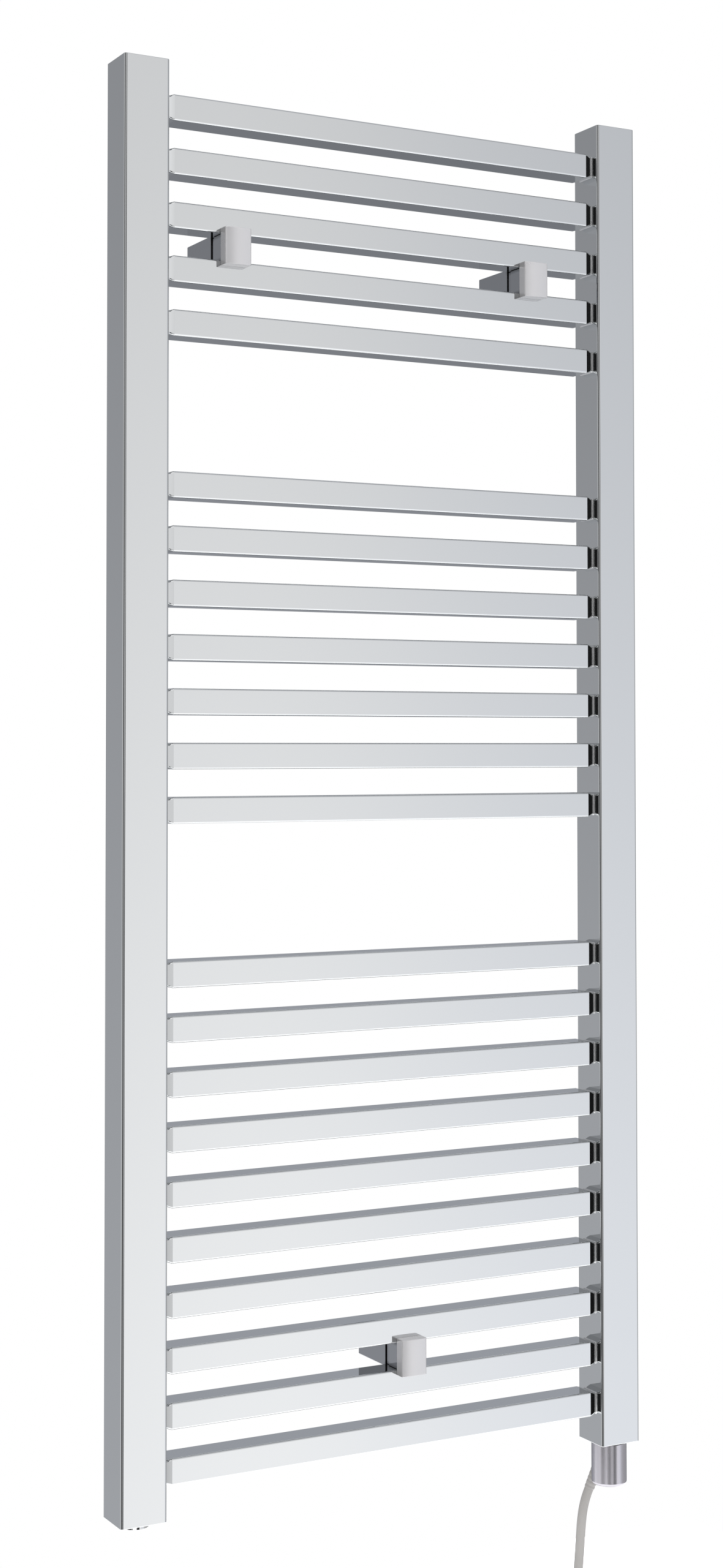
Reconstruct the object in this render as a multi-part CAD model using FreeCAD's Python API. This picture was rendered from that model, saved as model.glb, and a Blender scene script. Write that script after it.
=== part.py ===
import FreeCAD, Part

import math
import os

from FreeCAD import Vector

# Electric ladder towel warmer, in millimetres. +X runs along the crossbars, +Y points into the
# wall and +Z is up. The origin lies on the wall, midway between the two upper wall screws.

# Overall sizes
rack_height = 1200.0
rack_width = 500.0
wall_distance = 84.0  # from the wall to the posts' front faces
rack_shift = 3.0  # the rack's middle, right of the middle of the upper wall brackets

# Posts: square steel tube, standing
post_size = 40.0
post_wall = 1.5
post_corner = 2.2
post_end_edge = 0.6
end_plate = 3.0  # thickness of the plates welded into the posts' ends
weld_gap = 0.05

# Reach of a cutting body past the surface it opens, and how close counts as on a plane
past = 1.0
near = 0.01

# Crossbars: rectangular steel tube, in groups from the top down
bar_groups = (5, 7, 10)
gap_steps = 3  # pitches between two groups
end_margin = 37.5  # from a post's end to the nearest bar's middle
bar_height = 22.0
bar_depth = 25.0
bar_wall = 1.2
bar_corner = 1.5
shoulder_length = 6.2  # where a bar's end is drawn in to its neck
shoulder_step = 2.0
shoulder_curve = 0.3  # 0 for a straight taper, 1 for one that starts tangent to the bar
shoulder_rings = 5
neck_show = 1.3  # neck between the shoulder and the post
neck_inside = 1.0  # neck past the post's inner wall face
neck_corner = 1.0

# Wall brackets: two between the third and fourth bars, one between the third and second last
bracket_inset = 104.0  # from the rack's outer faces, to the upper brackets' spacing
lower_bracket_x = 20.0
sleeve_width = 20.0
sleeve_height = 28.0
sleeve_wall = 2.5
sleeve_front = 3.0  # thickness of the sleeve's closed front
sleeve_corner = 1.0
wall_gap = 0.5  # from the sleeve to the wall
slide_clearance = 0.2
socket_length = 34.0
socket_base = 8.0  # thickness under the wall screw's head
wall_screw_hole = 5.4
wall_screw_head = 10.4
saddle_flange = 3.0
saddle_nose = 5.0  # saddle's length between the bars
nose_width = 18.0
nose_gap = 1.0  # open line between the saddle's nose and the clamp's neck
lap = 4.25  # how far the head laps over the bar above and below
bar_clearance = 0.4  # between a bar and the pieces in the gap beside it
face_clearance = 0.2  # between a bar's front or back face and the piece clamped on it
head_width = 24.0
head_depth = 10.5
head_bulge = 0.9
head_wall = 1.5
head_edge = 1.4
plate_thickness = 4.0
plate_clearance = 0.15
neck_width = 21.0
neck_round = 2.0
clamp_screw_d = 4.0
clamp_screw_head_d = 7.6
clamp_screw_head = 3.0
screw_proud = 0.1  # the screw's head, before the plate's front
screw_past_sleeve = 1.0
screw_clearance = 0.15
hex_size = 3.0  # across the flats of the clamp screw's key
hex_depth = 1.8
grub_d = 4.0
grub_gap = 0.1  # from the grub screw's point to the socket
grub_sunk = 0.2  # below the sleeve's surface
grub_from_wall = 16.0

# Threaded ports in the posts' lower ends
port_d = 20.9
port_boss_d = 28.0
port_boss = 9.0
port_clearance = 0.05
seal_thickness = 0.8
seal_d = 25.0
plug_head_d = 22.5
plug_head = 4.7
plug_edge = 0.8
plug_slot = 3.2
plug_slot_depth = 2.6
plug_slot_turn = 23.0  # degrees from the front, to the left
plug_shank = 10.0

# Air vent, in the back of the left post
vent_from_top = 22.0
vent_thread_d = 12.0
vent_flange_d = 16.0
vent_flange = 6.0
vent_inside = 5.0
vent_bore_d = 5.0
spindle_clearance = 0.05
spindle_inset = 1.0  # from the vent's inner end to the spindle's
spindle_gap = 0.3  # from the vent's flange to the spindle's collar
spindle_collar_d = 7.0
spindle_collar = 2.0
spindle_square = 4.0
spindle_show = 4.0

# Heating element in the right post
cap_d = 32.0
cap_height = 37.6
cap_wall = 1.2
cap_edge = 3.0
collar_d = 29.0
collar_height = 1.9
bush_flange = 7.0
bush_clearance = 0.1
bush_shank = 11.0
sheath_d = 12.0
sheath_wall = 0.8
sheath_length = 430.0  # above the post's lower end
sheath_tail = 12.0  # below it
sheath_end = 3.0  # thickness of the sheath's closed end
core_inset = 1.0  # from the sheath's ends to its core
core_clearance = 0.1
probe_d = 3.0
block_size = (10.0, 8.0, 9.0)
block_corner = 0.8
block_way_d = 2.2
block_pitch = 3.0
block_offset = (3.0, -4.0)
block_drop = 14.0
fuse_d = 4.0
fuse_length = 11.0
fuse_drop = 29.0
fuse_back = -7.0

# Mains cable: its relief leaves low in the cap's back, leaning down and out to the left
cable_d = 8.4
bend_share = 0.45  # share of the shorter straight run that a bend takes up
relief_plan = 105.0  # degrees round the cap's axis from +X
relief_out = 13.0
relief_drop = 26.0
relief_heading = 148.0  # plan direction in which the relief leans
relief_lean = 22.0  # degrees from straight down
relief_inside = 6.0
relief_outside = 22.6
relief_base_r = 5.6
relief_tip_r = 4.6
relief_clearance = 0.05
cable_route = (  # after the relief's tip, measured from the tip
    (-2.9, 1.8, -8.3),
    (-6.5, 2.8, -25.0),
    (-9.4, 1.8, -54.0),
    (-13.0, 0.4, -84.0),
    (-17.2, -1.2, -112.0),
    (-20.6, -2.4, -134.0),
)
coil_r = 45.0  # to the middle of the turns
coil_offset = (31.0, -0.4, -148.0)  # from the relief's tip to the coil's middle
coil_section = 21.0
coil_end = 60.0  # the cable's end, hanging from the turns' left side
core_d = 2.4
core_length = 24.0
core_spread = 2.4
core_fan = 8.0  # degrees between neighbouring cores
core_gap = 0.02

# Places that follow from the sizes
pitch_steps = sum(bar_groups) - len(bar_groups) + gap_steps * (len(bar_groups) - 1)
pitch = (rack_height - 2.0 * end_margin) / pitch_steps
top_z = end_margin + 2.5 * pitch
bottom_z = top_z - rack_height
lower_bracket_z = bottom_z + end_margin + 1.5 * pitch
left_x = rack_shift - rack_width / 2.0
right_x = rack_shift + rack_width / 2.0
front_y = -wall_distance
middle_y = front_y + post_size / 2.0
bar_front_y = middle_y - bar_depth / 2.0
bar_back_y = middle_y + bar_depth / 2.0
bracket_spacing = rack_width - 2.0 * bracket_inset
left_axis_x = left_x + post_size / 2.0
right_axis_x = right_x - post_size / 2.0
bar_gap = pitch - bar_height
neck_height = bar_gap - 2.0 * bar_clearance
head_height = bar_gap + 2.0 * lap
brackets = {
    "top_left": (-bracket_spacing / 2.0, 0.0),
    "top_right": (bracket_spacing / 2.0, 0.0),
    "bottom": (lower_bracket_x, lower_bracket_z),
}

X, Y, Z = Vector(1, 0, 0), Vector(0, 1, 0), Vector(0, 0, 1)


def save(node, *solids):
    shape = solids[0] if len(solids) == 1 else Part.makeCompound(list(solids))
    if not shape.isValid():
        raise ValueError(node + " isn't a valid solid")
    shape.exportStep(os.path.join("parts", node + ".step"))


def block(x, y, z, corner=0.0, along=None):
    """A box between pairs of limits, its four edges along one axis rounded."""
    size = [pair[1] - pair[0] for pair in (x, y, z)]
    box = Part.makeBox(*size, Vector(x[0], y[0], z[0]))
    if not corner:
        return box
    edges = [e for e in box.Edges if abs(e.tangentAt(e.FirstParameter).dot(along)) > 0.99]
    return box.makeFillet(corner, edges)


def about(middle, size):
    return (middle - size / 2.0, middle + size / 2.0)


def rod(radius, start, direction, length):
    return Part.makeCylinder(radius, length, start, direction)


def edges_at_z(shape, z):
    return [
        e for e in shape.Edges
        if abs(e.BoundBox.ZMin - z) < near and abs(e.BoundBox.ZMax - z) < near
    ]


def bar_middles():
    """Heights of the crossbars' middles, from the top down."""
    step = 0
    for count in bar_groups:
        for _ in range(count):
            yield top_z - end_margin - step * pitch
            step += 1
        step += gap_steps - 1


def ring_of_bar(x, inset, corner):
    """A rounded rectangle across the bar at x, drawn in by inset, as a wire."""
    half_y = bar_depth / 2.0 - inset
    half_z = bar_height / 2.0 - inset
    slab = block((x, x + past), (-half_y, half_y), (-half_z, half_z), corner, X)
    face = min(slab.Faces, key=lambda f: f.CenterOfMass.x)
    return face.OuterWire


def crossbar():
    """One hollow bar about y = 0, z = 0, with a shoulder and a neck at each end."""
    inner_left = left_x + post_size
    inner_right = right_x - post_size
    parts = []
    for wall_x, out in ((inner_left, 1.0), (inner_right, -1.0)):
        rings = []
        for i in range(shoulder_rings + 1):
            part = i / shoulder_rings
            inset = shoulder_step * part * (1.0 - shoulder_curve * (1.0 - part))
            x = wall_x + out * (neck_show + (1.0 - part) * shoulder_length)
            rings.append(ring_of_bar(x, inset, bar_corner))
        parts.append(Part.makeLoft(rings, True, False))
        neck_start = wall_x - out * (post_wall + neck_inside)
        neck_end = wall_x + out * (neck_show + near)
        neck = about(0.0, bar_depth - 2.0 * shoulder_step), about(0.0, bar_height - 2.0 * shoulder_step)
        parts.append(block(sorted((neck_start, neck_end)), *neck, neck_corner, X))
    reach = neck_show + shoulder_length
    body = block(
        (inner_left + reach, inner_right - reach),
        about(0.0, bar_depth),
        about(0.0, bar_height),
        bar_corner,
        X,
    )
    bar = body.fuse(parts)
    duct = block(
        (inner_left + reach, inner_right - reach),
        about(0.0, bar_depth - 2.0 * bar_wall),
        about(0.0, bar_height - 2.0 * bar_wall),
    )
    narrow = 2.0 * (shoulder_step + bar_wall)
    through = block(
        (inner_left - post_wall - neck_inside - past, inner_right + post_wall + neck_inside + past),
        about(0.0, bar_depth - narrow),
        about(0.0, bar_height - narrow),
    )
    return bar.cut(duct.fuse(through))


def post(outer_x, side):
    """A square tube with a slot for each bar's neck; side is 1 where the bars lie to its right."""
    x = sorted((outer_x, outer_x + side * post_size))
    y = (front_y, front_y + post_size)
    tube = block(x, y, (bottom_z, top_z), post_corner, Z)
    tube = tube.makeFillet(post_end_edge, edges_at_z(tube, bottom_z) + edges_at_z(tube, top_z))
    tube = tube.cut(block(
        (x[0] + post_wall, x[1] - post_wall),
        (y[0] + post_wall, y[1] - post_wall),
        (bottom_z - past, top_z + past),
        post_corner - post_wall,
        Z,
    ))
    inner_face = outer_x + side * post_size
    slot_x = sorted((inner_face - side * (post_wall + past), inner_face + side * past))
    slots = [
        block(
            slot_x,
            about(middle_y, bar_depth - 2.0 * shoulder_step + 2.0 * weld_gap),
            about(z, bar_height - 2.0 * shoulder_step + 2.0 * weld_gap),
            neck_corner + weld_gap,
            X,
        )
        for z in bar_middles()
    ]
    return tube.cut(slots)


def end_cap(axis_x, z0, ported):
    """A plate let into a post's end; a lower one carries a threaded boss."""
    inside = post_size - 2.0 * (post_wall + weld_gap)
    z = (z0, z0 + end_plate) if ported else (z0 - end_plate, z0)
    plate = block(about(axis_x, inside), about(middle_y, inside), z, post_corner - post_wall, Z)
    if not ported:
        return plate
    boss = rod(port_boss_d / 2.0, Vector(axis_x, middle_y, z0), Z, end_plate + port_boss)
    start = Vector(axis_x, middle_y, z0 - past)
    hole = rod(port_d / 2.0, start, Z, end_plate + port_boss + 2.0 * past)
    return plate.fuse(boss).cut(hole)


def seal(axis_x):
    """The flat washer on the outside of a port."""
    base = Vector(axis_x, middle_y, bottom_z - seal_thickness)
    ring = rod(seal_d / 2.0, base, Z, seal_thickness)
    return ring.cut(rod(port_d / 2.0, base, Z, seal_thickness))


def blanking_plug():
    """The slotted plug that closes the left post's port."""
    low = bottom_z - seal_thickness - plug_head
    axis = Vector(left_axis_x, middle_y, low)
    head = rod(plug_head_d / 2.0, axis, Z, plug_head)
    head = head.makeFillet(plug_edge, edges_at_z(head, low))
    shank_start = Vector(left_axis_x, middle_y, low + plug_head)
    shank = rod(port_d / 2.0 - port_clearance, shank_start, Z, seal_thickness + plug_shank)
    slot = block(
        about(left_axis_x, plug_slot),
        (middle_y - plug_head_d, middle_y + plug_head_d),
        (low - past, low + plug_slot_depth),
    )
    slot.rotate(axis, Z, -plug_slot_turn)
    return head.fuse(shank).cut(slot)


def vent_axis(offset):
    return Vector(left_axis_x, front_y + post_size + offset, top_z - vent_from_top)


def air_vent():
    """The vent's body: a flanged bush through the post's back wall, bored for the spindle."""
    flange = rod(vent_flange_d / 2.0, vent_axis(0.0), Y, vent_flange)
    shank = rod(
        vent_thread_d / 2.0, vent_axis(-post_wall - vent_inside), Y, post_wall + vent_inside
    )
    bore = rod(vent_bore_d / 2.0, vent_axis(-post_wall - vent_inside - past), Y, 2.0 * post_size)
    return flange.fuse(shank).cut(bore)


def bleed_spindle():
    """A shaft in the vent's bore, with a collar outside it and a square for the key."""
    start = -post_wall - vent_inside + spindle_inset
    collar_start = vent_flange + spindle_gap
    shaft_r = vent_bore_d / 2.0 - spindle_clearance
    shaft = rod(shaft_r, vent_axis(start), Y, collar_start + near - start)
    collar = rod(spindle_collar_d / 2.0, vent_axis(collar_start), Y, spindle_collar)
    end = vent_axis(collar_start + spindle_collar)
    square = block(
        about(end.x, spindle_square),
        (end.y, end.y + spindle_show),
        about(end.z, spindle_square),
    )
    return shaft.fuse([collar, square])


def wall_socket(x, z):
    """The block screwed to the wall, bored for a screw whose head sits down inside it."""
    width = sleeve_width - 2.0 * (sleeve_wall + slide_clearance)
    height = sleeve_height - 2.0 * (sleeve_wall + slide_clearance)
    body = block(about(x, width), (-socket_length, 0.0), about(z, height), sleeve_corner, Y)
    hole = rod(wall_screw_hole / 2.0, Vector(x, past, z), -Y, socket_length + 2.0 * past)
    recess = rod(wall_screw_head / 2.0, Vector(x, -socket_base, z), -Y, socket_length)
    return body.cut(hole.fuse(recess))


sleeve_front_y = bar_back_y + face_clearance + saddle_flange


def sleeve(x, z):
    """The box that slides over a socket and carries the clamp on its closed front."""
    outer = block(
        about(x, sleeve_width), (sleeve_front_y, -wall_gap), about(z, sleeve_height), sleeve_corner, Y
    )
    inner = block(
        about(x, sleeve_width - 2.0 * sleeve_wall),
        (sleeve_front_y + sleeve_front, 0.0),
        about(z, sleeve_height - 2.0 * sleeve_wall),
        sleeve_corner,
        Y,
    )
    screw = rod(
        clamp_screw_d / 2.0 + screw_clearance,
        Vector(x, sleeve_front_y - past, z),
        Y,
        sleeve_front + 2.0 * past,
    )
    grub = rod(
        grub_d / 2.0 + screw_clearance,
        Vector(x, -grub_from_wall, z - sleeve_height / 2.0 - past),
        Z,
        sleeve_wall + 2.0 * past,
    )
    return outer.cut([inner, screw, grub])


def saddle(x, z):
    """Behind the bars: a flange on their back faces and a nose between them."""
    flange = block(
        about(x, sleeve_width),
        (bar_back_y + face_clearance, sleeve_front_y),
        about(z, sleeve_height),
        sleeve_corner,
        Y,
    )
    nose = block(
        about(x, nose_width),
        (bar_back_y - saddle_nose, bar_back_y + face_clearance),
        about(z, neck_height),
    )
    hole = rod(clamp_screw_d / 2.0 + screw_clearance, Vector(x, front_y, z), Y, post_size)
    return flange.fuse(nose).cut(hole)


plate_front_y = bar_front_y - face_clearance - plate_thickness


def clamp_plate(x, z):
    """In front of the bars: a plate on their front faces and a neck reaching back between them."""
    plate = block(
        about(x, head_width - 2.0 * (head_wall + plate_clearance)),
        (plate_front_y, bar_front_y - face_clearance),
        about(z, head_height - 2.0 * (head_wall + plate_clearance)),
    )
    neck_end = bar_back_y - saddle_nose - nose_gap
    neck = block(
        about(x, neck_width),
        (bar_front_y - face_clearance, neck_end),
        about(z, neck_height),
    )
    back = [
        e for e in neck.Edges
        if abs(e.BoundBox.YMin - neck_end) < near and e.BoundBox.ZLength > neck_height / 2.0
    ]
    neck = neck.makeFillet(neck_round, back)
    start = Vector(x, plate_front_y - past, z)
    hole = rod(clamp_screw_d / 2.0 + screw_clearance, start, Y, post_size)
    seat_r = clamp_screw_head_d / 2.0 + screw_clearance
    seat = rod(seat_r, start, Y, clamp_screw_head + past)
    return plate.fuse(neck).cut([hole, seat])


def head_cover(x, z):
    """A pressed cap over the clamp plate, its front gently crowned from side to side."""
    back_y = bar_front_y - face_clearance
    flat_y = back_y - head_depth + head_bulge
    half = head_width / 2.0
    low, high = about(z, head_height)
    corners = [
        Vector(x - half, back_y, low),
        Vector(x - half, flat_y, low),
        Vector(x + half, flat_y, low),
        Vector(x + half, back_y, low),
    ]
    crown = Part.Arc(corners[1], Vector(x, flat_y - head_bulge, low), corners[2]).toShape()
    outline = Part.Wire([
        Part.makeLine(corners[0], corners[1]),
        crown,
        Part.makeLine(corners[2], corners[3]),
        Part.makeLine(corners[3], corners[0]),
    ])
    cap = Part.Face(outline).extrude(Z * (high - low))
    uprights = [
        e for e in cap.Edges
        if e.BoundBox.ZLength > head_height / 2.0 and abs(e.BoundBox.YMin - flat_y) < near
    ]
    cap = cap.makeFillet(head_edge, uprights)
    rims = [
        e for e in cap.Edges
        if e.BoundBox.ZLength < near and e.BoundBox.YMax < back_y - near
    ]
    cap = cap.makeFillet(head_edge / 2.0, rims)
    hollow = block(
        about(x, head_width - 2.0 * head_wall),
        (flat_y + head_wall, back_y + past),
        about(z, head_height - 2.0 * head_wall),
    )
    return cap.cut(hollow)


def clamp_screw(x, z):
    """A socket screw from inside the head, through plate, neck and saddle into the sleeve."""
    head_start = plate_front_y - screw_proud
    head = rod(clamp_screw_head_d / 2.0, Vector(x, head_start, z), Y, clamp_screw_head)
    end_y = sleeve_front_y + sleeve_front + screw_past_sleeve
    shank_y = head_start + clamp_screw_head
    shank = rod(clamp_screw_d / 2.0, Vector(x, shank_y, z), Y, end_y - shank_y)
    corner_r = hex_size / math.sqrt(3.0)
    corners = [
        Vector(
            x + corner_r * math.cos(i * math.pi / 3.0),
            head_start - past,
            z + corner_r * math.sin(i * math.pi / 3.0),
        )
        for i in range(7)
    ]
    key = Part.Face(Part.makePolygon(corners)).extrude(Y * (hex_depth + past))
    return head.fuse(shank).cut(key)


def grub_screw(x, z):
    """The set screw in the sleeve's underside that bites on the socket."""
    low = z - sleeve_height / 2.0 + grub_sunk
    top = z - sleeve_height / 2.0 + sleeve_wall + slide_clearance - grub_gap
    return rod(grub_d / 2.0, Vector(x, -grub_from_wall, low), Z, top - low)


cap_axis = Vector(right_axis_x, middle_y, bottom_z)
cap_top_z = bottom_z - collar_height
cap_low_z = cap_top_z - cap_height


def on_cap_axis(z):
    return Vector(cap_axis.x, cap_axis.y, z)


def plan(angle):
    return Vector(math.cos(math.radians(angle)), math.sin(math.radians(angle)), 0.0)


relief_way = plan(relief_heading) * math.sin(math.radians(relief_lean))
relief_way = relief_way - Z * math.cos(math.radians(relief_lean))
relief_middle = cap_axis + plan(relief_plan) * relief_out - Z * relief_drop
relief_start = relief_middle - relief_way * relief_inside
relief_tip = relief_middle + relief_way * relief_outside


def relief(extra):
    length = relief_inside + relief_outside
    return Part.makeCone(
        relief_base_r + extra, relief_tip_r + extra, length, relief_start, relief_way
    )


def cap_collar():
    """The dark ring between the seal and the cap."""
    ring = rod(collar_d / 2.0, on_cap_axis(cap_top_z), Z, collar_height - seal_thickness)
    return ring.cut(rod(port_d / 2.0, on_cap_axis(cap_top_z), Z, collar_height))


def cap_shell():
    """A drawn cup, open at the top, with a hole low in its back for the cable's relief."""
    cup = rod(cap_d / 2.0, on_cap_axis(cap_low_z), Z, cap_height)
    cup = cup.makeFillet(cap_edge, edges_at_z(cup, cap_low_z))
    hollow = rod(cap_d / 2.0 - cap_wall, on_cap_axis(cap_low_z + cap_wall), Z, cap_height)
    hollow = hollow.makeFillet(cap_edge - cap_wall, edges_at_z(hollow, cap_low_z + cap_wall))
    return cup.cut([hollow, relief(relief_clearance)])


def element_bush():
    """The brass bush that seals the element into the port and carries the cap."""
    radius = cap_d / 2.0 - cap_wall - bush_clearance
    flange = rod(radius, on_cap_axis(cap_top_z - bush_flange), Z, bush_flange)
    shank_r = port_d / 2.0 - port_clearance
    shank = rod(shank_r, on_cap_axis(cap_top_z), Z, collar_height + bush_shank)
    bore = rod(
        sheath_d / 2.0 + weld_gap, on_cap_axis(cap_top_z - bush_flange - past), Z, 2.0 * post_size
    )
    return flange.fuse(shank).cut(bore)


def heater_sheath():
    """The element's steel tube, closed at its upper end."""
    low = bottom_z - sheath_tail
    length = sheath_length + sheath_tail
    tube = rod(sheath_d / 2.0, on_cap_axis(low), Z, length)
    top = low + length
    tube = tube.makeFillet(sheath_d / 4.0, edges_at_z(tube, top))
    return tube.cut(rod(sheath_d / 2.0 - sheath_wall, on_cap_axis(low), Z, length - sheath_end))


def heater_core():
    """The packed oxide and its wire, as one rod, bored for the temperature probe."""
    low = bottom_z - sheath_tail + core_inset
    length = sheath_length + sheath_tail - sheath_end - 2.0 * core_inset
    radius = sheath_d / 2.0 - sheath_wall - core_clearance
    core = rod(radius, on_cap_axis(low), Z, length)
    return core.cut(rod(probe_d / 2.0 + core_clearance, on_cap_axis(low), Z, length))


def terminal_block():
    x, y = cap_axis.x + block_offset[0], cap_axis.y + block_offset[1]
    top = bottom_z - block_drop
    low = top - block_size[2]
    body = block(about(x, block_size[0]), about(y, block_size[1]), (low, top), block_corner, Z)
    way_r = block_way_d / 2.0
    holes = [
        rod(way_r, Vector(x + block_pitch * i, y, low - past), Z, block_size[2] + 2.0 * past)
        for i in (-1, 0, 1)
    ]
    return body.cut(holes)


def thermal_fuse():
    """The one-shot thermal link lying beside the terminal block."""
    start = cap_axis + Vector(-fuse_length / 2.0, fuse_back, -fuse_drop)
    return rod(fuse_d / 2.0, start, X, fuse_length)


route = [relief_tip] + [relief_tip + Vector(*p) for p in cable_route]


def cable_path():
    """Straight runs joined by tangent arcs; prints each arc's radius."""
    edges = []
    start = route[0]
    for before, corner, after in zip(route, route[1:], route[2:]):
        a, b = (corner - before), (after - corner)
        turn = a.getAngle(b)
        cut = bend_share * min(a.Length, b.Length)
        radius = cut / math.tan(turn / 2.0)
        enter = corner - a.normalize() * cut
        leave = corner + b.normalize() * cut
        inward = (leave - corner) + (enter - corner)
        reach = radius / math.cos(turn / 2.0) - radius
        middle = corner + inward.normalize() * reach
        print("arc radius %.1f mm, turn %.1f degrees" % (radius, math.degrees(turn)))
        edges.append(Part.LineSegment(start, enter).toShape())
        edges.append(Part.Arc(enter, middle, leave).toShape())
        start = leave
    edges.append(Part.LineSegment(start, route[-1]).toShape())
    return Part.Wire(edges)


def mains_cable():
    """The sheathed cable from its relief to the coil."""
    path = cable_path()
    way = (route[1] - route[0]).normalize()
    circle = Part.Wire([Part.makeCircle(cable_d / 2.0, route[0], way)])
    tube = path.makePipeShell([circle], True, False)
    area = math.pi * cable_d**2 / 4.0
    print("cable run %.1f mm, volume over section x length %.4f"
          % (path.Length, tube.Volume / (area * path.Length)))
    return tube


coil_middle = relief_tip + Vector(*coil_offset)
end_start = coil_middle - X * coil_r


def cable_coil():
    """The wound rest of the cable as one ring, with the cable's end hanging out of it."""
    outer = coil_r + coil_section / 2.0
    start = coil_middle - Y * (coil_section / 2.0)
    ring = rod(outer, start, Y, coil_section)
    ring = ring.cut(rod(outer - coil_section, start, Y, coil_section))
    rims = [e for e in ring.Edges if isinstance(e.Curve, Part.Circle)]
    ring = ring.makeFillet(coil_section / 4.0, rims)
    return ring.fuse(rod(cable_d / 2.0, end_start, -Z, coil_end))


def cable_cores():
    """Three insulated cores with crimped ends, fanned out from the cable's end."""
    end = end_start - Z * (coil_end + core_gap)
    cores = []
    for i in (-1, 0, 1):
        lean = math.radians(core_fan * i)
        way = Vector(math.sin(lean), 0.0, -math.cos(lean))
        start = end + X * (core_spread * i) - Z * (core_d / 2.0 * abs(math.sin(lean)))
        core = rod(core_d / 2.0, start, way, core_length)
        ferrule = rod(core_d / 3.0, start + way * core_length, way, core_length / 3.0)
        cores.append(core.fuse(ferrule))
    return cores


os.makedirs("parts", exist_ok=True)

bar = crossbar()
for number, z in enumerate(bar_middles(), 1):
    placed = bar.copy()
    placed.translate(Vector(0.0, middle_y, z))
    save("crossbar_%02d" % number, placed)

vent_hole = rod(
    vent_thread_d / 2.0 + weld_gap, vent_axis(-post_wall - past), Y, post_wall + 2.0 * past
)
save("post_left", post(left_x, 1.0).cut(vent_hole))
save("post_right", post(right_x, -1.0))
for side, axis_x in (("left", left_axis_x), ("right", right_axis_x)):
    save("top_cap_" + side, end_cap(axis_x, top_z, False))
    save("port_cap_" + side, end_cap(axis_x, bottom_z, True))

for place, (x, z) in brackets.items():
    save("wall_socket_" + place, wall_socket(x, z))
    save("sleeve_" + place, sleeve(x, z))
    save("saddle_" + place, saddle(x, z))
    save("clamp_plate_" + place, clamp_plate(x, z))
    save("head_cover_" + place, head_cover(x, z))
save("clamp_screws", *[clamp_screw(x, z) for x, z in brackets.values()])
save("grub_screws", *[grub_screw(x, z) for x, z in brackets.values()])

save("air_vent", air_vent())
save("bleed_spindle", bleed_spindle())
save("blanking_plug", blanking_plug())
save("port_seals", seal(left_axis_x), seal(right_axis_x))

save("element_bush", element_bush())
save("heater_sheath", heater_sheath())
save("heater_core", heater_core())
save("cap_collar", cap_collar())
save("cap_shell", cap_shell())
save("terminal_block", terminal_block())
save("thermal_fuse", thermal_fuse())
save("cable_relief", relief(0.0))
save("mains_cable", mains_cable())
save("cable_coil", cable_coil())
save("cable_cores", *cable_cores())
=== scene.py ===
import math

import bpy
import numpy as np
from mathutils import Matrix, Vector


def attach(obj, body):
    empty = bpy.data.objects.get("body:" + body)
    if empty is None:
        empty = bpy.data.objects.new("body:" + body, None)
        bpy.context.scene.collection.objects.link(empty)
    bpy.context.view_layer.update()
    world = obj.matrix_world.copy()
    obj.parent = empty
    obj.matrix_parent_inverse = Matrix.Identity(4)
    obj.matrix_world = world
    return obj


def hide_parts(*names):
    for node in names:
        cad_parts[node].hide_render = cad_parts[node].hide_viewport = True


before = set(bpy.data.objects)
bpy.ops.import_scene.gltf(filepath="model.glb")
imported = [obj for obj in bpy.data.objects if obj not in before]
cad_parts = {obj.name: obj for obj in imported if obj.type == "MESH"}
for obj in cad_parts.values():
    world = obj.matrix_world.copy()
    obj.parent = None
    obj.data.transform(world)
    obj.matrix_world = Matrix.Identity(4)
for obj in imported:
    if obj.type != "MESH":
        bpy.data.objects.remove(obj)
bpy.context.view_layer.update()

# ---------------------------------------------------------------------------------------------
# Camera. It stands to the left of the rack at about the height of its middle and looks level,
# so the posts stay upright. The lens is moved a little off centre to take the whole rack in.
camera_place = Vector((-0.95786, -1.90088, -0.42766))
camera_yaw, camera_pitch, camera_roll = (math.radians(a) for a in (29.577, 1.878, -0.120))

ahead = Vector((
    math.sin(camera_yaw) * math.cos(camera_pitch),
    math.cos(camera_yaw) * math.cos(camera_pitch),
    math.sin(camera_pitch),
))
level = Vector((math.cos(camera_yaw), -math.sin(camera_yaw), 0.0))
upward = level.cross(ahead)
across = math.cos(camera_roll) * level + math.sin(camera_roll) * upward
upward = math.cos(camera_roll) * upward - math.sin(camera_roll) * level
lens = bpy.data.cameras.new("camera")
lens.lens = 54.533
lens.shift_x = -0.0664
lens.shift_y = -0.0678
lens.clip_start = 0.05
camera = bpy.data.objects.new("camera", lens)
turn = Matrix((across, upward, -ahead)).transposed()
camera.matrix_world = Matrix.Translation(camera_place) @ turn.to_4x4()
bpy.context.scene.collection.objects.link(camera)
bpy.context.scene.camera = camera

# ---------------------------------------------------------------------------------------------
# Mains flex: a round PVC-sheathed cable from the element's cap to a fused connection box. It is
# extruded, so it is smooth with a faint waxy grain. What isn't needed is wound in four turns.
flex_d = 0.0084
relief_tip = Vector((0.222456, -0.046957, -1.096954))
flex_route = [
    (0.0, 0.0, 0.0),
    (-0.0029, 0.0018, -0.0083),
    (-0.0065, 0.0028, -0.0250),
    (-0.0094, 0.0018, -0.0540),
    (-0.0130, 0.0004, -0.0840),
    (-0.0172, -0.0012, -0.1120),
    (-0.0206, -0.0024, -0.1340),
]
coil_middle = relief_tip + Vector((0.0310, -0.0004, -0.1480))
coil_r, strand_r, coil_turns = 0.045, 0.0073, 4
points_per_turn = 12
flex_end = [
    (-0.0454, -0.0092, -0.0120),
    (-0.0460, -0.0112, -0.0260),
    (-0.0460, -0.0092, -0.0420),
    (-0.0452, -0.0040, -0.0600),
]


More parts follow.
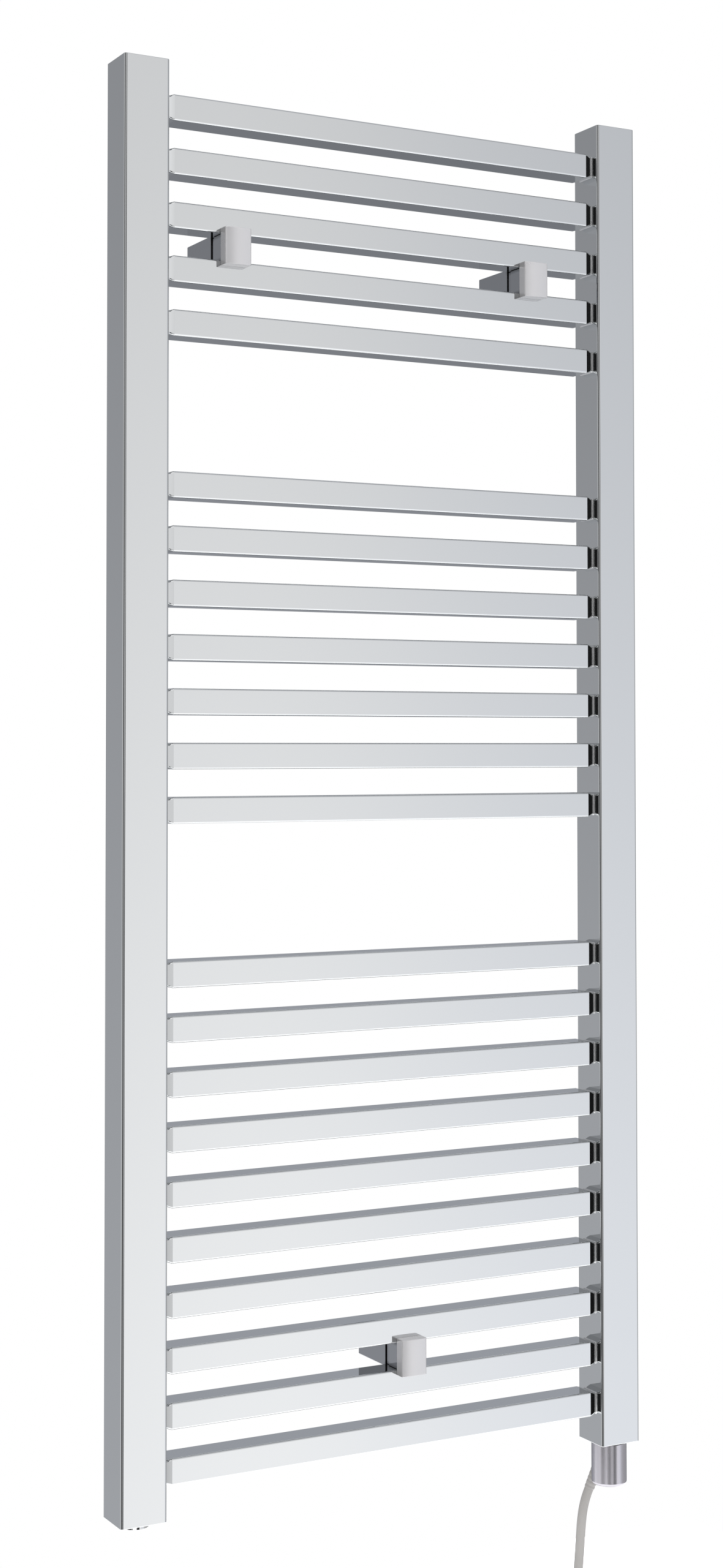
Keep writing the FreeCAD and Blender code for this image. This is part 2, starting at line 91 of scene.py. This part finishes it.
def coil_points():
    """Turns about the Y axis through the coil's middle. Each turn takes the next of five places
    round the bundle's own middle, so the strands lie side by side and never in each other:
    radius = coil_r + strand_r cos(lane), depth = strand_r sin(lane)."""
    count = coil_turns * points_per_turn
    step = np.arange(count + 1)
    angle = math.pi + step * 2.0 * math.pi / points_per_turn
    lane = math.radians(-18.0) + np.radians(72.0) * step / points_per_turn
    reach = coil_r + strand_r * np.cos(lane)
    offset = np.stack([reach * np.cos(angle), strand_r * np.sin(lane), reach * np.sin(angle)], 1)
    return [coil_middle + Vector(p) for p in offset]


def flex_material(name, colour, roughness):
    """Extruded PVC: a fine uneven grain in its gloss and height, and a faint drift in its tone."""
    material = bpy.data.materials.new(name)
    material.use_nodes = True
    tree = material.node_tree
    shader = tree.nodes["Principled BSDF"]
    place = tree.nodes.new("ShaderNodeTexCoord")
    grain = tree.nodes.new("ShaderNodeTexNoise")
    grain.inputs["Scale"].default_value = 900.0
    drift = tree.nodes.new("ShaderNodeTexNoise")
    drift.inputs["Scale"].default_value = 18.0
    tone = tree.nodes.new("ShaderNodeMapRange")
    tone.inputs["To Min"].default_value = 0.9
    tone.inputs["To Max"].default_value = 1.06
    mixed = tree.nodes.new("ShaderNodeVectorMath")
    mixed.operation = "SCALE"
    mixed.inputs[0].default_value = colour
    gloss = tree.nodes.new("ShaderNodeMapRange")
    gloss.inputs["To Min"].default_value = roughness - 0.08
    gloss.inputs["To Max"].default_value = roughness + 0.1
    bump = tree.nodes.new("ShaderNodeBump")
    bump.inputs["Strength"].default_value = 0.06
    bump.inputs["Distance"].default_value = 0.0004
    link = tree.links.new
    link(place.outputs["Object"], grain.inputs["Vector"])
    link(place.outputs["Object"], drift.inputs["Vector"])
    link(drift.outputs["Fac"], tone.inputs["Value"])
    link(tone.outputs["Result"], mixed.inputs["Scale"])
    link(mixed.outputs["Vector"], shader.inputs["Base Color"])
    link(grain.outputs["Fac"], gloss.inputs["Value"])
    link(gloss.outputs["Result"], shader.inputs["Roughness"])
    link(grain.outputs["Fac"], bump.inputs["Height"])
    link(bump.outputs["Normal"], shader.inputs["Normal"])
    shader.inputs["Specular IOR Level"].default_value = 0.4
    return material


flex_pvc = flex_material("flex_pvc", (0.43, 0.415, 0.40), 0.45)
route = [relief_tip + Vector(p) for p in flex_route]
route += coil_points() + [coil_middle + Vector(p) for p in flex_end]
flex_curve = bpy.data.curves.new("mains_flex", "CURVE")
flex_curve.dimensions = "3D"
flex_curve.bevel_depth = flex_d / 2.0
flex_curve.bevel_resolution = 5
flex_curve.resolution_u = 6
flex_curve.use_fill_caps = True
strand = flex_curve.splines.new("NURBS")
strand.points.add(len(route) - 1)
for point, place in zip(strand.points, route):
    point.co = (*place, 1.0)
strand.order_u = 3
strand.use_endpoint_u = True
flex_curve.materials.append(flex_pvc)
flex = bpy.data.objects.new("mains_flex", flex_curve)
bpy.context.scene.collection.objects.link(flex)
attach(flex, "rack")
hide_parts("mains_cable", "cable_coil")

# ---------------------------------------------------------------------------------------------
# Flex's cores: brown, blue, and green with yellow, each a stranded wire in coloured insulation,
# with a tinned ferrule crimped on its end ready for the connection box.
core_r, core_length, ferrule_length = 0.0012, 0.024, 0.008
core_start = coil_middle + Vector(flex_end[-1])
core_spacing, core_lean = 0.0024, 8.0
core_colours = {
    "core_brown": (0.16, 0.05, 0.02),
    "core_earth": (0.16, 0.34, 0.03),
    "core_blue": (0.02, 0.10, 0.38),
}


def smooth_mesh(name, points, closed_u, closed_v, material, caps=False):
    """A mesh from a grid of points, points[v][u]. Rows join into rings where closed_u is true,
    and the last row joins the first where closed_v is; caps adds a flat end to each open row."""
    rows, columns = points.shape[:2]
    index = np.arange(rows * columns).reshape(rows, columns)
    right = np.roll(index, -1, 1) if closed_u else index[:, 1:]
    left = index if closed_u else index[:, :-1]
    if closed_v:
        above_left, above_right = np.roll(left, -1, 0), np.roll(right, -1, 0)
    else:
        above_left, above_right = left[1:], right[1:]
        left, right = left[:-1], right[:-1]
    quads = np.stack([left, right, above_right, above_left], -1).reshape(-1, 4).tolist()
    if caps:
        quads += [index[0][::-1].tolist(), index[-1].tolist()]
    mesh = bpy.data.meshes.new(name)
    mesh.from_pydata(points.reshape(-1, 3), [], quads)
    mesh.polygons.foreach_set("use_smooth", np.ones(len(mesh.polygons), dtype=bool))
    if caps:
        mesh.polygons[len(quads) - 1].use_smooth = False
        mesh.polygons[len(quads) - 2].use_smooth = False
    mesh.materials.append(material)
    mesh.update()
    piece = bpy.data.objects.new(name, mesh)
    bpy.context.scene.collection.objects.link(piece)
    return piece


def turned(name, start, way, profile, material, sides=48):
    """A turned shape: profile is (distance along way, radius) pairs, swept round the axis, so a
    point is start + way * distance + radius (side1 cos angle + side2 sin angle)."""
    way = np.array(way, float) / np.linalg.norm(way)
    side1 = np.cross(way, (0.0, 1.0, 0.001))
    side1 /= np.linalg.norm(side1)
    side2 = np.cross(way, side1)
    angle = np.linspace(0.0, 2.0 * math.pi, sides, endpoint=False)
    ring = np.outer(np.cos(angle), side1) + np.outer(np.sin(angle), side2)
    along, radius = np.array(profile, float).T
    points = (
        np.array(start)
        + along[:, None, None] * way
        + radius[:, None, None] * ring
    )
    return smooth_mesh(name, points, True, False, material, caps=True)


tin = flex_material("ferrule_tin", (0.62, 0.62, 0.60), 0.3)
tin.node_tree.nodes["Principled BSDF"].inputs["Metallic"].default_value = 1.0
for number, (name, colour) in enumerate(core_colours.items()):
    lean = math.radians(core_lean * (number - 1))
    way = (math.sin(lean), 0.0, -math.cos(lean))
    start = core_start + Vector((core_spacing * (number - 1), 0.0, 0.0004))
    insulation = [(0.0, core_r), (core_length - 0.0003, core_r), (core_length, core_r * 0.85)]
    core = turned(name, start, way, insulation, flex_material(name + "_pvc", colour, 0.4), 24)
    tip = np.array(start) + np.array(way) * (core_length - 0.001)
    sleeve = [(0.0, 0.0013), (0.0012, 0.0012), (0.0014, 0.0008), (ferrule_length, 0.0008)]
    ferrule = turned(name + "_ferrule", tip, way, sleeve, tin, 24)
    for piece in (core, ferrule):
        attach(piece, "rack")
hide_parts("cable_cores")

# ---------------------------------------------------------------------------------------------
# Cable ties: two nylon straps pulled tight round the wound turns, on opposite sides of the coil.
# Each is a flat band moulded with softly rounded edges.
tie_width, tie_thick, tie_reach = 0.0035, 0.0011, 0.0122
tie_angles = (62.0, 242.0)


def cable_tie(name, turn_angle):
    """A flat strap round the bundle: a ring of radius tie_reach about the turns' circle at
    turn_angle, with a rounded-rectangle section; a superellipse keeps it slightly square."""
    outward = np.array([math.cos(turn_angle), 0.0, math.sin(turn_angle)])
    sideways = np.array([-math.sin(turn_angle), 0.0, math.cos(turn_angle)])
    depth = np.array([0.0, 1.0, 0.0])
    middle = np.array(coil_middle) + coil_r * outward
    around = np.linspace(0.0, 2.0 * math.pi, 72, endpoint=False)
    section = np.linspace(0.0, 2.0 * math.pi, 16, endpoint=False)
    c, s = np.cos(section), np.sin(section)
    wide = 0.5 * tie_width * np.sign(c) * np.abs(c) ** 0.35
    thick = 0.5 * tie_thick * np.sign(s) * np.abs(s) ** 0.6
    bulge = 1.0 + 0.03 * np.cos(5.0 * around)
    reach = tie_reach * bulge[:, None] + thick[None, :]
    spoke = np.cos(around)[:, None] * outward + np.sin(around)[:, None] * depth
    points = middle + reach[..., None] * spoke[:, None, :] + wide[None, :, None] * sideways
    return smooth_mesh(name, points, True, True, tie_nylon)


tie_nylon = flex_material("tie_nylon", (0.55, 0.55, 0.53), 0.35)
for number, degrees in enumerate(tie_angles, 1):
    tie = cable_tie("cable_tie_%d" % number, math.radians(degrees))
    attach(tie, "rack")

# ---------------------------------------------------------------------------------------------
# Strain relief: a tapered sleeve moulded on the flex, let into the cap's back low down. It has
# shallow grooves round it.
relief_way = Vector((-0.31769, 0.19851, -0.92718))
relief_long = 0.0286
relief_wide_r, relief_tip_r = 0.0056, 0.0046
groove_depth, groove_count = 0.00022, 7.0
relief_start = relief_tip - relief_way * relief_long
along = np.linspace(0.0, 1.0, 90)
groove = groove_depth * np.clip(np.sin(along * 2.0 * math.pi * groove_count), 0.0, 1.0) ** 0.5
groove *= (along > 0.3) * (along < 0.93)
relief_r = relief_wide_r + (relief_tip_r - relief_wide_r) * along - groove
relief_r[-3:] -= np.array([0.0, 0.0001, 0.0004])
relief = turned(
    "strain_relief", relief_start, relief_way, np.stack([along * relief_long, relief_r], 1), flex_pvc
)
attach(relief, "rack")
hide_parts("cable_relief")

# ---------------------------------------------------------------------------------------------
# Chrome: copper, nickel and a flash of chromium on polished steel. Close to, the polish leaves a
# very slow waviness in the flats, a few wipe marks, and a slightly duller bloom here and there.


def polish_group():
    """Waviness, wipe marks and bloom of a polished plate, as a height and a roughness."""
    group = bpy.data.node_groups.new("plated_polish", "ShaderNodeTree")
    face = group.interface
    for name, value in (("Waves", 7.0), ("Bloom", 0.03), ("Base Roughness", 0.05)):
        socket = face.new_socket(name, in_out="INPUT", socket_type="NodeSocketFloat")
        socket.default_value = value
    face.new_socket("Height", in_out="OUTPUT", socket_type="NodeSocketFloat")
    face.new_socket("Roughness", in_out="OUTPUT", socket_type="NodeSocketFloat")
    new, link = group.nodes.new, group.links.new
    inside, outside = new("NodeGroupInput"), new("NodeGroupOutput")
    place = new("ShaderNodeTexCoord")
    waves = new("ShaderNodeTexNoise")
    waves.inputs["Detail"].default_value = 1.0
    wipes = new("ShaderNodeTexNoise")
    wipes.inputs["Scale"].default_value = 26.0
    wipes.inputs["Detail"].default_value = 6.0
    wipes.inputs["Distortion"].default_value = 1.2
    patch = new("ShaderNodeMapRange")
    patch.inputs["From Min"].default_value = 0.45
    patch.inputs["From Max"].default_value = 0.75
    scaled = new("ShaderNodeMath")
    scaled.operation = "MULTIPLY"
    summed = new("ShaderNodeMath")
    summed.operation = "ADD"
    link(place.outputs["Object"], waves.inputs["Vector"])
    link(inside.outputs["Waves"], waves.inputs["Scale"])
    link(place.outputs["Object"], wipes.inputs["Vector"])
    link(wipes.outputs["Fac"], patch.inputs["Value"])
    link(patch.outputs["Result"], scaled.inputs[0])
    link(inside.outputs["Bloom"], scaled.inputs[1])
    link(scaled.outputs["Value"], summed.inputs[0])
    link(inside.outputs["Base Roughness"], summed.inputs[1])
    link(waves.outputs["Fac"], outside.inputs["Height"])
    link(summed.outputs["Value"], outside.inputs["Roughness"])
    return group


polish = polish_group()


def plated(name, colour, roughness=0.05, bloom=0.03, waves=7.0, depth=0.0002):
    """Polished or brushed metal: waves sets how close its waviness lies, depth how high it is."""
    material = bpy.data.materials.new(name)
    material.use_nodes = True
    tree = material.node_tree
    shader = tree.nodes["Principled BSDF"]
    shader.inputs["Base Color"].default_value = (*colour, 1.0)
    shader.inputs["Metallic"].default_value = 1.0
    marks = tree.nodes.new("ShaderNodeGroup")
    marks.node_tree = polish
    marks.inputs["Waves"].default_value = waves
    marks.inputs["Bloom"].default_value = bloom
    marks.inputs["Base Roughness"].default_value = roughness
    bump = tree.nodes.new("ShaderNodeBump")
    bump.inputs["Strength"].default_value = 0.5
    bump.inputs["Distance"].default_value = depth
    tree.links.new(marks.outputs["Height"], bump.inputs["Height"])
    tree.links.new(marks.outputs["Roughness"], shader.inputs["Roughness"])
    tree.links.new(bump.outputs["Normal"], shader.inputs["Normal"])
    return material


def dress(material, *names):
    """Gives CAD nodes their finish."""
    for name in names:
        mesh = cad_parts[name].data
        mesh.materials.clear()
        mesh.materials.append(material)


tube_chrome = plated("tube_chrome", (0.655, 0.667, 0.671), 0.03, 0.02, 5.0, 0.0001)
bars = sorted(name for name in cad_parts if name.startswith("crossbar"))
dress(tube_chrome, "post_left", "post_right", "top_cap_left", "top_cap_right", *bars)

# ---------------------------------------------------------------------------------------------
# Port plates: the threaded plates welded into the posts' lower ends, turned from bar and plated
# with the posts.
dress(plated("port_chrome", (0.66, 0.66, 0.67), 0.12), "port_cap_left", "port_cap_right")

# ---------------------------------------------------------------------------------------------
# Braze fillets: where each bar's neck enters a post, the brazing metal has run into a small
# hollow fillet all round, plated over with the rest and a little duller than the tubes.
fillet_r = 0.0009
neck_half = (0.0105, 0.009)
neck_corner = 0.001
inner_faces = ((-0.207, 1.0), (0.213, -1.0))
post_middle_y = -0.064


def braze_fillet(wall_x, out, z):
    """Rows round a rounded rectangle at the neck; each row is a quarter-circle hollow from the
    post's face to the neck: x = r (1 - sin a) off the face, reach = r (1 - cos a) off the neck."""
    round_steps, hollow_steps = 6, 5
    corner_angle = np.linspace(0.0, math.pi / 2.0, round_steps)
    middles = [(1, 1, 0), (-1, 1, 1), (-1, -1, 2), (1, -1, 3)]
    ring, normal = [], []
    for side_y, side_z, quarter_turn in middles:
        for a in corner_angle + quarter_turn * math.pi / 2.0:
            way = np.array([math.cos(a), math.sin(a)])
            middle = np.array([side_y, side_z]) * (np.array(neck_half) - neck_corner)
            ring.append(middle + neck_corner * way)
            normal.append(way)
    ring, normal = np.array(ring), np.array(normal)
    rows = []
    for a in np.linspace(0.0, math.pi / 2.0, hollow_steps):
        outline = ring + normal * fillet_r * (1.0 - math.sin(a))
        x = np.full(len(ring), wall_x + out * fillet_r * (1.0 - math.cos(a)))
        rows.append(np.stack([x, post_middle_y + outline[:, 0], z + outline[:, 1]], 1))
    return np.array(rows)


braze = plated("braze_chrome", (0.80, 0.80, 0.80), 0.3, 0.1, 200.0)
for wall_x, out in inner_faces:
    side = "left" if out > 0.0 else "right"
    for name in bars:
        corners = [Vector(corner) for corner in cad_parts[name].bound_box]
        z = (min(c.z for c in corners) + max(c.z for c in corners)) / 2.0
        rows = braze_fillet(wall_x, out, z)
        fillet = smooth_mesh("braze_%s_%s" % (side, name[-2:]), rows, True, False, braze)
        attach(fillet, "rack")

# ---------------------------------------------------------------------------------------------
# Head covers: pressed caps over the brackets' clamp screws, plated and left with a satin bloom.
# They are the part of each bracket that stands in front of the bars.
places = ("top_left", "top_right", "bottom")
head_chrome = plated("head_chrome", (0.62, 0.612, 0.622), 0.24, 0.05, 30.0, 0.00005)
head_chrome.node_tree.nodes["Principled BSDF"].inputs["Metallic"].default_value = 0.4
dress(head_chrome, *["head_cover_" + place for place in places])

# ---------------------------------------------------------------------------------------------
# Clamp plates, saddles and sleeves: zinc castings under chrome, mirror-bright, with painted shade
# in their crevices. A clamp plate and a saddle grip two bars between them, and the sleeve runs to
# the wall.
bracket_tone = (0.40, 0.41, 0.43)
bracket_chrome = plated("bracket_chrome", bracket_tone, 0.05, 0.03, 20.0, 0.00005)
tree = bracket_chrome.node_tree
# Painted shade: an ambient-occlusion factor, raised to a power, darkens the base colour in crevices
# and joints.
crevice_painted_shade = tree.nodes.new("ShaderNodeAmbientOcclusion")
crevice_painted_shade.samples = 8
crevice_painted_shade.inputs["Distance"].default_value = 0.004
deepened_painted_shade = tree.nodes.new("ShaderNodeMath")
deepened_painted_shade.operation = "POWER"
deepened_painted_shade.inputs[1].default_value = 1.6
tone_with_painted_shade = tree.nodes.new("ShaderNodeVectorMath")
tone_with_painted_shade.operation = "SCALE"
tone_with_painted_shade.inputs[0].default_value = bracket_tone
tree.links.new(crevice_painted_shade.outputs["AO"], deepened_painted_shade.inputs[0])
tree.links.new(deepened_painted_shade.outputs["Value"], tone_with_painted_shade.inputs["Scale"])
tree.links.new(tone_with_painted_shade.outputs["Vector"], tree.nodes["Principled BSDF"].inputs["Base Color"])
for kind in ("clamp_plate_", "saddle_", "sleeve_"):
    dress(bracket_chrome, *[kind + place for place in places])

# ---------------------------------------------------------------------------------------------
# Wall sockets: plain zinc castings screwed to the wall. The sleeves slide on them, so they are
# left unplated and dull.
socket_zinc = plated("socket_zinc", (0.30, 0.31, 0.32), 0.35, 0.1, 60.0)
dress(socket_zinc, *["wall_socket_" + place for place in places])

# ---------------------------------------------------------------------------------------------
# Clamp screws and grub screws: turned steel under bright zinc. The grub screws pinch the sleeves
# on their sockets.
dress(plated("screw_zinc", (0.60, 0.60, 0.58), 0.3, 0.1, 80.0), "clamp_screws", "grub_screws")

# ---------------------------------------------------------------------------------------------
# Element cap: a drawn steel cup, brushed round and round, so its highlights run up and down.
brushed = plated("brushed_steel", (0.52, 0.505, 0.54), 0.25, 0.03, 40.0, 0.000002)
dress(brushed, "cap_shell")

# ---------------------------------------------------------------------------------------------
# Cap collar and port seals: the collar is a dark moulded ring over the cap, and the seals are
# black rubber rings under the fittings in the posts' ports.
dark_ring = flex_material("dark_ring", (0.02, 0.02, 0.022), 0.5)
dress(dark_ring, "cap_collar", "port_seals")

# ---------------------------------------------------------------------------------------------
# Element bush: turned brass with the thread that screws into the right post's port.
# The sheath is brazed into it.
brass = plated("turned_brass", (0.80, 0.60, 0.28), 0.2)
dress(brass, "element_bush")

# ---------------------------------------------------------------------------------------------
# Blanking plug, air vent and bleed spindle: small turned fittings, plated to go with the posts.
# The plug closes the left post's port, and the vent lets air out at the top.
plug_chrome = plated("plug_chrome", (0.60, 0.60, 0.60), 0.1, 0.05, 40.0)
dress(plug_chrome, "blanking_plug", "air_vent", "bleed_spindle")

# ---------------------------------------------------------------------------------------------
# Heating element: a drawn steel sheath packed with pale oxide round its heating wire.
# The thermal fuse beside its terminals has a pale body too.
dress(plated("sheath_steel", (0.5, 0.5, 0.5), 0.3), "heater_sheath")
dress(flex_material("oxide", (0.7, 0.68, 0.62), 0.8), "heater_core", "thermal_fuse")

# ---------------------------------------------------------------------------------------------
# Terminal block: an off-white moulding in the cap, where the flex's cores meet the element.
# It sits in the cap with the thermal fuse.
dress(flex_material("block_plastic", (0.75, 0.74, 0.70), 0.4), "terminal_block")

# ---------------------------------------------------------------------------------------------
# Floor: a pale painted square well below the rack. It glows evenly, so that what the plating
# mirrors from below is as light as what it mirrors from the front.
floor_z = -1.62
floor_half = 1.2
floor_mesh = bpy.data.meshes.new("floor")
corners = [(-1, -1), (1, -1), (1, 1), (-1, 1)]
floor_points = [(x * floor_half, y * floor_half, floor_z) for x, y in corners]
floor_mesh.from_pydata(floor_points, [], [(0, 1, 2, 3)])
floor_paint = bpy.data.materials.new("floor_paint")
floor_paint.use_nodes = True
paint = floor_paint.node_tree.nodes["Principled BSDF"]
paint.inputs["Base Color"].default_value = (0.9, 0.9, 0.9, 1.0)
paint.inputs["Roughness"].default_value = 0.8
paint.inputs["Emission Color"].default_value = (1.0, 1.0, 1.0, 1.0)
paint.inputs["Emission Strength"].default_value = 1.0
floor_mesh.materials.append(floor_paint)
floor = bpy.data.objects.new("floor", floor_mesh)
bpy.context.scene.collection.objects.link(floor)

# ---------------------------------------------------------------------------------------------
# Surround: only the rack sees it, and to the camera it is plain white. It is what the plating
# mirrors, as (angle from straight out of the wall, positive right; brightness; coolness).
surround = [
    (-180, 0.40, 0.7), (-148, 0.46, 0.5), (-115, 0.62, 0.2), (-88, 0.90, 0.0), (-82, 0.02, 0.0),
    (-56, 0.02, 0.0), (-50, 0.85, 0.0), (-46, 0.85, 0.0), (-42, 0.06, 0.0), (-23, 0.06, 0.0),
    (-19, 0.92, 0.0), (-6, 0.92, 0.0), (-3, 0.02, 0.0), (15, 0.02, 0.0), (19, 1.06, 0.0),
    (24, 1.10, 0.0), (34, 0.96, 0.5), (44, 0.90, 0.6), (58, 0.55, 0.3), (94, 0.50, 0.0),
    (102, 0.75, 0.2), (118, 0.50, 0.6), (134, 0.36, 1.0), (150, 0.34, 1.0), (180, 0.40, 0.8),
]
slope = 1.7  # how far the right front and left back darken upwards, and the other two lighten
world = bpy.data.worlds.new("studio")
bpy.context.scene.world = world
world.use_nodes = True
tree = world.node_tree
tree.nodes.clear()
new, link = tree.nodes.new, tree.links.new


def reckon(operation, first, second, third=None):
    """One step of arithmetic between sockets or numbers."""
    node = new("ShaderNodeMath")
    node.operation = operation
    for socket, value in zip(node.inputs, (first, second, third)):
        if isinstance(value, bpy.types.NodeSocket):
            link(value, socket)
        elif value is not None:
            socket.default_value = value
    return node.outputs["Value"]


heading = new("ShaderNodeTexCoord")
split = new("ShaderNodeSeparateXYZ")
link(heading.outputs["Generated"], split.inputs[0])
x, y, z = split.outputs
angle = reckon("ARCTAN2", x, reckon("MULTIPLY", y, -1.0))
share = reckon("MULTIPLY_ADD", angle, 0.5 / math.pi, 0.5)
ramp = new("ShaderNodeValToRGB")
ramp.color_ramp.interpolation = "EASE"
stops = ramp.color_ramp.elements
while len(stops) > 1:
    stops.remove(stops[-1])
for number, (degrees, value, cool) in enumerate(surround):
    stop = stops[0] if number == 0 else stops.new((degrees + 180.0) / 360.0)
    stop.position = (degrees + 180.0) / 360.0
    tint = (0.99 - 0.08 * cool, 0.99 - 0.04 * cool, 1.0 + 0.04 * cool)
    stop.color = (*[value * part for part in tint], 1.0)
link(share, ramp.inputs["Fac"])
quarter = reckon("MULTIPLY", x, y)
steep = reckon("MULTIPLY_ADD", reckon("MAXIMUM", quarter, 0.0), 0.8, quarter)
fall = reckon("MULTIPLY_ADD", reckon("MULTIPLY", steep, z), slope, 1.0)
shaded = new("ShaderNodeVectorMath")
shaded.operation = "SCALE"
link(ramp.outputs["Color"], shaded.inputs[0])
link(fall, shaded.inputs["Scale"])
lit = new("ShaderNodeBackground")
link(shaded.outputs["Vector"], lit.inputs["Color"])
plain = new("ShaderNodeBackground")
plain.inputs["Color"].default_value = (1.0, 1.0, 1.0, 1.0)
sight = new("ShaderNodeLightPath")
either = new("ShaderNodeMixShader")
link(sight.outputs["Is Camera Ray"], either.inputs["Fac"])
link(lit.outputs["Background"], either.inputs[1])
link(plain.outputs["Background"], either.inputs[2])
outlet = new("ShaderNodeOutputWorld")
link(either.outputs["Shader"], outlet.inputs["Surface"])
bpy.context.scene.view_settings.view_transform = "Standard"

# ---------------------------------------------------------------------------------------------
# Softbox: a large lamp high over the front of the rack, for the flex and the rounded edges.
# It is hidden from mirror reflections.
softbox = bpy.data.lights.new("softbox", "AREA")
softbox.shape = "RECTANGLE"
softbox.size, softbox.size_y = 2.4, 1.2
softbox.energy = 75.0
softbox_stand = bpy.data.objects.new("softbox", softbox)
softbox_stand.location = (-0.6, -1.8, 1.9)
softbox_stand.visible_glossy = False
aim = Vector((0.0, 0.0, -0.5)) - Vector(softbox_stand.location)
softbox_stand.rotation_euler = aim.to_track_quat("-Z", "Y").to_euler()
bpy.context.scene.collection.objects.link(softbox_stand)
